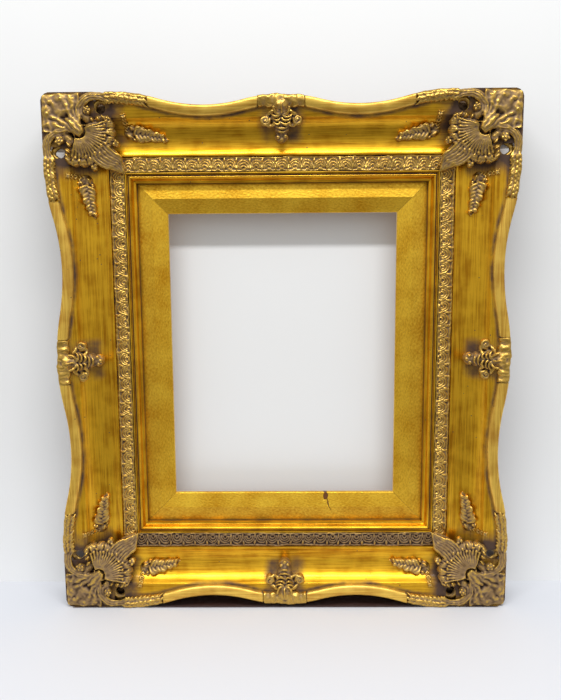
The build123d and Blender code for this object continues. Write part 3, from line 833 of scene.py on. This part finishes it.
def corner_wear(down, across, height):
    """Arms and the outer rim are rubbed most, and the scrolls' eyes are never reached, so they take the
    painted hollow shade.
    """
    along, inward = max(down, across), min(down, across)
    if height < 31 and (Vector((along, inward)) - scroll_place).length < 7:
        return -0.6
    arm = min(max((along - 50) / 8, 0), 1) * (1 if inward < 14 else 0)
    return 0.24 * arm


corner_bm = bmesh.new()
shell_wax(corner_bm)
corner_leaf_wax(corner_bm)
for half, at in ((half_long, straight), (half_short, swapped)):
    scroll_wax(corner_bm, at)
    arm_wax(corner_bm, at, half)
# A flat boss closes the eyes on the top and bottom rails, and those on the side rails stay open
ball(corner_bm, swapped(*scroll_place, 27.0), 8.0, 0.25)
corner_mould = cast("corner_wax", corner_bm, corner_voxel, corner_wear)
casting = patinated_casting()
for name, across, down in (
        ("top_left", 1, -1), ("top_right", -1, -1), ("bottom_left", 1, 1), ("bottom_right", -1, 1)):
    bm = taken_from(corner_mould, bottom_casting_darkening if down > 0 else 0.0)
    for vert in bm.verts:
        vert.co.xy = max(vert.co.x, 0), max(vert.co.y, 0)
    corner = Vector((-across * half_short * mm, back, half_long * mm * (1 - down)))
    place = placed(corner, (0, 0, down), (across, 0, 0))
    piece(f"{name}_corner_cast", bm, place, (casting,), f"{name}_corner", 180)

# Centre cartouches: one casting on the middle of each rail, glued over the gap between two rim beads.
# Its knuckled crest lies on the rim, and a heart-shaped basket with a tip of three beads stands out over
# the cove with a volute on each side. The same composition and finish as the corners.
crest_front = 45.5
crest_back = 9.0
crest_fall = tan(radians(25))
knuckle_pitch = 7.0
cartouche_voxel = 0.4


def on_cartouche(along, inward, rise):
    """A place on the cartouche by its rise above the slope that falls from the rim into the cove."""
    return Vector((along, inward, crest_front - crest_fall * max(inward - crest_back, 0) + rise))


def crest_wax(bm):
    """The crest on the rim: the rim's own section, swelling at the middle into soft knuckles."""
    crest = swept(rim_section[::-1], [crown_half * step / 24 for step in range(-24, 25)])
    for vert in crest.verts:
        along, across, height = vert.co
        knuckle = -cos(2 * pi * along / knuckle_pitch)
        swell = hump(along, 0, 10)
        inward = scallop(along, half_long) + across * (1 + 0.28 * swell + 0.05 * knuckle)
        vert.co = (along, inward, table(inward) + height * (1.05 + 0.25 * swell + 0.13 * knuckle))
    press(bm, crest)
    for side in (-1, 1):
        ball(bm, (3.4 * side, 11.6, table(11) + 1.0), 3.3)


def basket_wax(bm):
    """The basket: rows of leaves on both halves, two bands and three beads at its tip."""
    for inward, radius in ((11, 6.2), (15, 5.8), (19, 5.6), (23, 5.4), (27, 5.0), (31, 4.7), (35, 4.2)):
        ball(bm, on_cartouche(0, inward, -radius + 0.3), radius)
        ball(bm, on_cartouche(0, inward, -radius - 3), radius)
    roll(bm, on_cartouche, [(0, 11, 0.6), (0, 14, 0.9), (0, 18, 0.2)], (1.0, 1.0, 0.8))
    for side in (-1, 1):
        brow = [(1.2 * side, 18.2, 0.2), (4.6 * side, 17.6, 0.6), (6.6 * side, 13.4, 0.0)]
        roll(bm, on_cartouche, brow, (0.7, 1.1, 0.9))
    for side in (-1, 1):
        for along, inward, radius in ((4.0, 20.4, 4.6), (3.4, 24.4, 4.4), (2.2, 28.2, 4.2)):
            for depth in (0.2, 3.4):
                ball(bm, on_cartouche(along * side, inward, -radius - depth), radius)
        for row in range(3):
            inward, half = 19.6 + 2.7 * row, 7.8 - 0.8 * row
            crest = (0.52 * half * side, inward + 0.9, 0.9)
            leaf = [(0.3 * side, inward - 0.9, 0.1), crest, (half * side, inward - 1.2, -1.4)]
            roll(bm, on_cartouche, leaf, (0.7, 1.0, 0.7))
    for inward, half in ((28.6, 4.4), (31.8, 3.0)):
        band = [(-half, inward - 1.4, -0.8), (0, inward, 0.9), (half, inward - 1.4, -0.8)]
        roll(bm, on_cartouche, band, (0.7, 1.05, 0.7))
    for along, inward, radius in ((-2.7, 34.8, 1.6), (2.7, 34.8, 1.6), (0, 36.8, 1.8)):
        ball(bm, on_cartouche(along, inward, -0.4), radius)
        ball(bm, on_cartouche(along, inward, -4.4), 2.6)


def volute_wax(bm):
    """A spiral volute on each side, with its arm to the basket and a leaf spur."""
    for side in (-1, 1):
        middle = (13.0 * side, 22.4)
        front = cover(middle[1]) + 4.6
        turns = (90 + side * 100, 90 - side * 330)
        coil(bm, straight, middle, (3.6, 1.6), turns, (front, front + 0.8), (1.25, 0.9))
        ball(bm, (*middle, front + 0.5), 1.4)
        for depth in (3.8, 6.0):
            ball(bm, (*middle, front - depth), 3.9)
        arm = [on_cartouche(5.4 * side, 25.0, -0.8), (8.8 * side, 26.6, 35.2), (11.6 * side, 25.6, front)]
        roll(bm, straight, arm, (1.3, 1.4, 1.2))
        ball(bm, (8.4 * side, 18.6, cover(18.6) - 1.6), 6.0, 0.45)
        spur = [(6.0 * side, 15.5, 37.6), (9.4 * side, 17.0, 36.6), (12.2 * side, 19.4, front - 1.0)]
        roll(bm, straight, spur, (1.7, 1.9, 1.3))


def cartouche_wear(along, inward, height):
    """The crest is rubbed most, as it stands out on the rim, and the tip least."""
    return 0.24 if inward < 12.5 else 0.02 if inward < 27 else -0.14


cartouche_bm = bmesh.new()
for model in (crest_wax, basket_wax, volute_wax):
    model(cartouche_bm)
cartouche_mould = cast("cartouche_wax", cartouche_bm, cartouche_voxel, cartouche_wear)
for side, place in rail_places.items():
    bm = taken_from(cartouche_mould)
    for vert in bm.verts:
        vert.co.y = max(vert.co.y, 0)
    piece(f"{side}_cartouche_cast", bm, place, (casting,), f"{side}_cartouche", 180)

# Leaf sprays: eight thin castings bent to the cove and glued on, one beside each leaf arm, each a stem of
# small husks, a cluster of buds at its root and a pointed leaf of braided leaflets.
# The same composition and finish as the corners.
spray_start = 64.0
spray_edge = 29.4
spray_turn = radians(10)
spray_length = 34.0
spray_voxel = 0.4
spray_wear = -0.02  # rubbed evenly and little, as the sprays lie low in the cove


def spray_wax(bm):
    """The spray laid flat, from its root towards its tip, with inward to the picture."""
    roll(bm, straight, [(3, 0.5, -0.2), (14, 0.2, -0.2), (spray_length - 2, 0, -0.2)], (4.4, 4.4, 1.8), 0.45)
    roll(bm, straight, [(4, 0.6, 1.4), (18, -0.5, 1.8), (spray_length, 0.3, 1.0)], (0.8, 0.9, 0.8))
    for leaflet in range(8):
        for side in (-1, 1):
            stray = noise.noise((3.1 * leaflet, 2.3 * side, 0.4))
            start = 6.5 + 3.1 * leaflet + 1.5 * (side > 0) + 0.8 * stray
            reach = (6.2 - 0.5 * leaflet) * (1 + 0.35 * stray)
            crest = (start + 0.5 * reach, (0.62 + 0.25 * stray) * reach * side, 3.0 + 0.5 * stray)
            tip = (start + 1.1 * reach, 0.66 * reach * side, 1.3)
            roll(bm, straight, [(start, -0.5 * side, 2.0), crest, tip], (1.1, 1.6, 0.9))
    for along, inward, radius in (
            (4.6, -3.8, 2.7), (9.4, -4.4, 2.3), (3.4, 2.4, 2.9), (8.2, 4.2, 2.5), (13.4, -4.4, 1.9),
            (13.0, 4.4, 1.9)):
        ball(bm, (along, inward, 0.4), radius, 0.8)
        start, tip = (along - 0.7 * radius, inward - 0.8, 1.8), (along + 0.9 * radius, inward, 1.4)
        roll(bm, straight, [start, (along, inward + 0.5, 2.8), tip], (0.5, 0.8, 0.5))
    line = [Vector(place) for place in ((-2.6, -12.5, 1.1), (-0.6, -6.5, 1.1), (2.0, 1.0, 1.1))]
    husks = through_points(*line, 6)
    for before, after in zip(husks, husks[1:]):
        across = Vector((before.y - after.y, after.x - before.x, 0)).normalized()
        for side in (-1, 1):
            crest = before.lerp(after, 0.3) + 1.0 * side * across
            husk = [before + 1.8 * side * across, crest, before.lerp(after, 0.6)]
            roll(bm, straight, husk, (0.6, 0.75, 0.5))


spray_bm = bmesh.new()
spray_wax(spray_bm)
spray_mould = cast("spray_wax", spray_bm, spray_voxel, lambda *spot: spray_wear)
for side, half in half_lengths.items():
    for hand, end in zip((1, -1), ends[side]):
        bm = taken_from(spray_mould)
        bm.transform(Matrix.Rotation(spray_turn, 4, "Z"))
        for vert in bm.verts:
            across = spray_edge + vert.co.y
            vert.co = (hand * (half - spray_start - vert.co.x), across, cover(across) + vert.co.z)
        if hand > 0:
            bmesh.ops.reverse_faces(bm, faces=bm.faces)
        node = f"{side}_{end}_spray"
        piece(f"{node}_cast", bm, rail_places[side], (casting,), node, 180)

# Running strips: pressed composition ribbon of nested arches and husks between two border lines, bent into
# the channel and glued, mitred at the corners under the shells. The bottom one is left darker than the rest.
strip_pitch = 10.6
strip_joint = 0.15
strip_voxel = 0.36
strip_wear = 0.24  # rubbed evenly, as the ribbon lies just below the lip
arch_foot = 9.4
arch_height = 1.35
bottom_strip_darkening = 0.56


def arches_wax(bm, middle):
    """One repeat: three nested arches, a small leaf under them and a pair of husks on each side."""
    def on_strip(along, inward, rise):
        return Vector((middle + along, lip_end + strip_joint + inward, channel_floor + rise))

    def on_arch(along, inward, rise):
        return on_strip(along, arch_foot + arch_height * inward, rise)

    for bow in (1.7, 3.3, 4.8):
        coil(bm, on_arch, (0, 0), (bow, bow), (184, 356), (1.2, 1.2), (0.55, 0.55))
    roll(bm, on_strip, [(-1.5, 11.0, 0.9), (0, 10.3, 1.3), (1.5, 11.0, 0.9)], (0.4, 0.55, 0.4))
    foot = strip_pitch / 2
    for side in (-1, 1):
        upper = [(foot * side, 1.4, 1.0), ((foot - 0.4) * side, 3.2, 1.5), (foot * side, 5.4, 1.0)]
        lower = [(foot * side, 10.9, 1.0), ((foot - 0.3) * side, 9.4, 1.4), (foot * side, 8.0, 1.0)]
        for husk in (upper, lower):
            roll(bm, on_strip, husk, (0.4, 0.6, 0.4))


def strip_wax(bm, half):
    """A flat ribbon with its two border lines and as many repeats as its length takes."""
    reach = half - lip_end
    start, stop = lip_end + strip_joint, channel_end - strip_joint
    low, high = Vector((-reach, start, channel_floor + 0.1)), Vector((reach, stop, channel_floor + 0.8))
    shape = Matrix.Translation((low + high) / 2) @ Matrix.Diagonal((*(high - low), 1))
    bmesh.ops.create_cube(bm, size=1, matrix=shape)
    for inward, radius in ((start + 0.8, 0.6), (stop - 0.7, 0.5)):
        places = even_steps(-reach, reach, round(reach / 0.4))
        pellets(bm, [(along, inward, channel_floor + 1.0) for along in places], [radius] * len(places))
    repeats = round(2 * reach / strip_pitch)
    for repeat in range(repeats):
        arches_wax(bm, -reach + 2 * reach * (repeat + 0.5) / repeats)


strip_moulds = {}
for half in (half_short, half_long):
    strip_bm = bmesh.new()
    strip_wax(strip_bm, half)
    strip_moulds[half] = cast("strip_wax", strip_bm, strip_voxel, lambda *spot: strip_wear)
for side, half in half_lengths.items():
    bm = taken_from(strip_moulds[half], bottom_strip_darkening if side == "bottom" else 0.0)
    cut_mitres(bm, half)
    node = f"{side}_strip"
    piece(f"{node}_pressed", bm, rail_places[side], (casting,), node, 180)

# Turn buttons: four stamped sheet brass buttons on the liner's back, each on a round-headed brass screw.
# They swing over the backing board to hold the picture in. The brass has dulled to brown in the open air.


def sheet_metal(name, bright, dull, spots, spot_share):
    """Rolled sheet metal: fine lines one way, a dull bloom in clouds and small spots of corrosion."""
    material, add, shader = start_material(name)
    place = add("TexCoord", output="Object")
    # Rolling lines 0.4 mm apart and 9 mm long, a bloom in clouds of 5 mm and spots of 1.3 mm
    lines = add("Mapping", {"Vector": place, "Scale": (1 / (9 * mm), 1 / (9 * mm), 1 / (0.4 * mm))})
    lines = add("TexNoise", {"Vector": lines, "Scale": 1.0, "Detail": 3.0})
    bloom = add("TexNoise", {"Vector": place, "Scale": 1 / (5 * mm), "Detail": 4.0})
    bloom = add("MapRange", (bloom, 0.36, 0.66))
    spot = add("TexNoise", {"Vector": place, "Scale": 1 / (1.3 * mm), "Detail": 3.0})
    least = 0.78 - 0.3 * spot_share
    spot = add("MapRange", (spot, least, least + 0.08))
    sheet = add("Mix", {0: bloom, 6: bright, 7: dull}, 2, data_type="RGBA")
    gloss = add("Math", (lines, 0.22, 0.2), operation="MULTIPLY_ADD")
    gloss = add("Math", (bloom, 0.14, gloss), operation="MULTIPLY_ADD")
    plug(shader, {
        "Base Color": add("Mix", {0: spot, 6: sheet, 7: spots}, 2, data_type="RGBA"),
        "Metallic": add("MapRange", (spot, 0.0, 1.0, 1.0, 0.35)),
        "Roughness": add("Math", (spot, 0.25, gloss), operation="MULTIPLY_ADD"),
        "Normal": add("Bump", {"Height": lines, "Strength": 0.3, "Distance": 0.06 * mm}),
    })
    return material


def finish_nodes(nodes, metal):
    """Gives CAD nodes that keep their own shape their real finish."""
    for node in nodes:
        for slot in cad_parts[node].material_slots:
            slot.material = metal


dulled_brass = sheet_metal("dulled_brass", "#c79d4a", "#8f6b2f", "#4f3a1c", 0.25)
finish_nodes([f"turn_button_{side}" for side in half_lengths] + ["turn_button_screws"], dulled_brass)

# Hangers: two zinc-plated steel straps, each folded round a D-ring and fixed to a side rail by two screws.
# The plating has a grey, slightly yellow bloom with a few dull spots.
zinc_plate = sheet_metal("zinc_plated_steel", "#c3c5c4", "#9a9a90", "#6d6a60", 0.2)
hangers = [f"hanger_{part}_{side}" for part in ("strap", "ring") for side in ("left", "right")]
finish_nodes(hangers + ["hanger_screws"], zinc_plate)

# Nails and points: steel V-nails driven across the mitres from behind, and points that hold the liner in
# the rails' rabbet. Left bare, so they have browned with rust.
bare_steel = sheet_metal("bare_steel", "#9b9792", "#6f6862", "#5d3519", 0.75)
finish_nodes(["frame_v_nails", "liner_v_nails", "framer_points"], bare_steel)

# Studio: a pale paper floor, a white card close behind that only the camera sees, and only from its front,
# a long narrow lamp above the camera and a dim room. A brown film just above the floor, which the camera
# doesn't see, dims the light that comes up under the frame.
floor_front = 0.18  # metres in front of the frame's middle
sheet_half = 1.5
card_gap = 9 * mm
film_inset = 6 * mm
film_depth = 42 * mm
film_rise = 1.2 * mm


def stage_sheet(name, size, place, material, unseen):
    """A flat sheet of the studio, left out of the kinds of rays that shouldn't see it."""
    bm = bmesh.new()
    bmesh.ops.create_grid(bm, x_segments=1, y_segments=1, size=size, matrix=place)
    made = stand(name, as_mesh(name, bm))
    made.data.materials.append(material)
    for ray in unseen:
        setattr(made, f"visible_{ray}", False)


matt = {"Roughness": 0.9, "Specular IOR Level": 0.1}
paper, _, paper_shader = start_material("white_paper")
plug(paper_shader, {"Base Color": "#e5e8f0", **matt})
stage_sheet("floor", sheet_half, Matrix.Translation((0, sheet_half - floor_front, cad_low.z)), paper, ())
card, add_to_card, card_shader = start_material("white_card_seen_from_the_front")
plug(card_shader, {"Base Color": "#f4f5f6", **matt})
behind = add_to_card("NewGeometry", output="Backfacing")
one_sided = add_to_card("MixShader", (behind, card_shader.outputs[0], add_to_card("BsdfTransparent")))
plug(card.node_tree.nodes["Material Output"], (one_sided,))
card_place = Matrix.Translation((0, back + card_gap, cad_low.z + sheet_half))
card_place @= Matrix.Rotation(radians(90), 4, "X")
stage_sheet("board", sheet_half, card_place, card, ("diffuse", "glossy", "transmission", "shadow"))
film, add_to_film, _ = start_material("brown_film")
plug(film.node_tree.nodes["Material Output"], (add_to_film("BsdfTransparent", ("#4c3027",)),))
film_place = Matrix.Translation((0, back - film_depth / 2, cad_low.z + film_rise))
film_place @= Matrix.Diagonal((2 * half_short * mm - 2 * film_inset, film_depth, 1, 1))
stage_sheet("flag", 0.5, film_place, film, ("camera", "glossy"))

lamp_data = bpy.data.lights.new("soft_lamp", "AREA")
lamp_data.shape = "RECTANGLE"
lamp_data.size = 1.1
lamp_data.size_y = 0.08
lamp_data.energy = 8
lamp = stand("soft_lamp", lamp_data)
lamp.location = (0, -0.62, 1.1)
frame_centre = Vector((0, back, half_long * mm))
lamp.rotation_euler = (frame_centre - lamp.location).to_track_quat("-Z", "Y").to_euler()

world = bpy.data.worlds.new("room")
bpy.context.scene.world = world
world.use_nodes = True
room = world.node_tree
add_to_room = partial(add_node, room)
heading = add_to_room("TexCoord", output="Generated")
height = add_to_room("SeparateXYZ", (heading,), "Z")
tones = add_to_room("ValToRGB", (add_to_room("MapRange", (height, -1.0, 1.0)),))
stops = tones.node.color_ramp.elements
stops[0].position, stops[1].position = 0.3, 0.62
stops.new(0.44)
for stop, colour in zip(stops, ("#92908c", "#b6b5b2", "#f4f4f2")):
    stop.color = linear(colour)
plug(room.nodes["Background"], {"Color": tones, "Strength": 0.8})

# Camera: the photograph's place, a little above the frame's middle and 0.64 m away, as a phone is held.
# Its turns are what the photograph's slight lean and converging sides give.
focal_length = 750  # in pixels of the photograph
image_height = 700
sensor_height = 36  # millimetres along the picture's long side
pitch, yaw, lean = radians(8.445), radians(-0.73), radians(0.439)
camera_offset = Vector((-2.46, 5.54, 641.08)) * mm
sight_plane = Vector((0, back - liner_sight.y * mm, half_long * mm))
camera_data = bpy.data.cameras.new("camera")
camera_data.lens = sensor_height * focal_length / image_height
camera = stand("camera", camera_data)
turn = Matrix.Rotation(-yaw, 3, "Z") @ Matrix.Rotation(radians(90) - pitch, 3, "X")
turn @= Matrix.Rotation(-lean, 3, "Z")
camera.location = sight_plane + turn @ camera_offset
camera.rotation_euler = turn.to_euler()
bpy.context.scene.camera = camera
bpy.context.scene.view_settings.view_transform = "Standard"
